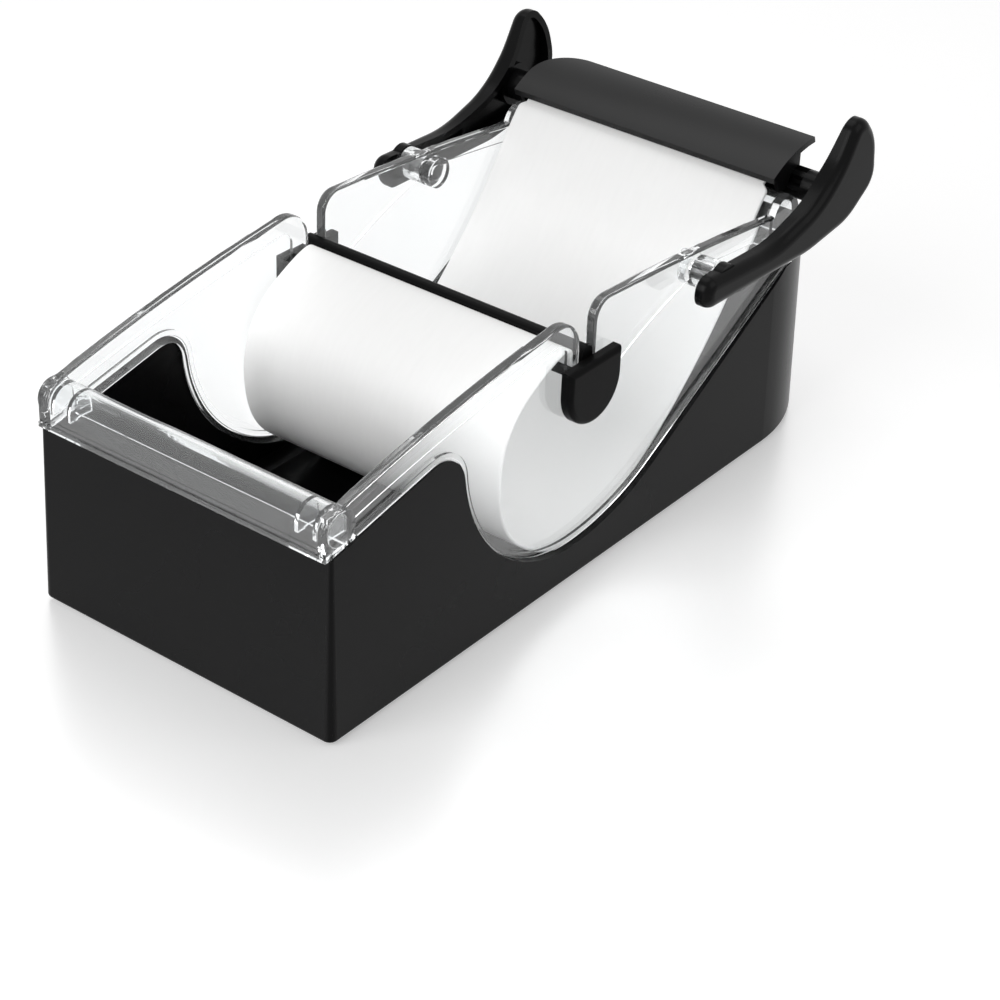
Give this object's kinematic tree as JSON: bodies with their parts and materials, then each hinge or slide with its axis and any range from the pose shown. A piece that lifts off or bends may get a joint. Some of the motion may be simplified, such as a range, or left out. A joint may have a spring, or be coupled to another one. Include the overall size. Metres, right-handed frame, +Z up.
{
  "type": "sushi roller",
  "caption": "Tabletop sushi roller: black tub, clear side frame, hanging rolling mat held by a slotted bar, and a two-armed lever that swings the mat forward.",
  "frame": {"origin": "middle of the bounding box on the surface the feet stand on", "axes": "+X to the right seen from the front, +Y from the front rail to the round rear, +Z up"},
  "size_m": [0.1286, 0.2554, 0.1054],
  "materials": {
    "tub_black": "satin black moulded plastic",
    "lever_black": "satin black moulded plastic",
    "bar_black": "satin black moulded plastic",
    "frame_clear": "polished clear plastic",
    "mat_white": "satin white flexible sheet",
    "rod_white": "white plastic rod",
    "foot_rubber": "matt grey-black rubber"
  },
  "bodies": {
    "base": {"base_tub": "tub_black", "clear_frame": "frame_clear", "foot_pad_front_left": "foot_rubber", "foot_pad_front_right": "foot_rubber", "foot_pad_rear_left": "foot_rubber", "foot_pad_rear_right": "foot_rubber", "rolling_mat": "mat_white"},
    "lever": {"lever_arm_left": "lever_black", "lever_arm_right": "lever_black", "lever_shaft": "lever_black", "mat_cover": "lever_black", "mat_rod_rear": "rod_white", "pivot_pin_left": "lever_black", "pivot_pin_right": "lever_black"},
    "roll_bar": {"roll_bar": "bar_black", "bar_cap_left": "bar_black", "bar_cap_right": "bar_black", "mat_rod_front": "rod_white"}
  },
  "joints": [
    {"name": "lever_swing", "type": "hinge", "parent": "base", "child": "lever", "pos_m": [0, 0.03325, 0.076], "axis": [1, 0, 0], "range_deg": [0, 145], "deforming": ["rolling_mat"]},
    {"name": "roll_bar_lift", "type": "slide", "parent": "base", "child": "roll_bar", "axis": [0, 0, 1], "range_m": [0, 0.012], "deforming": ["rolling_mat"]}
  ]
}
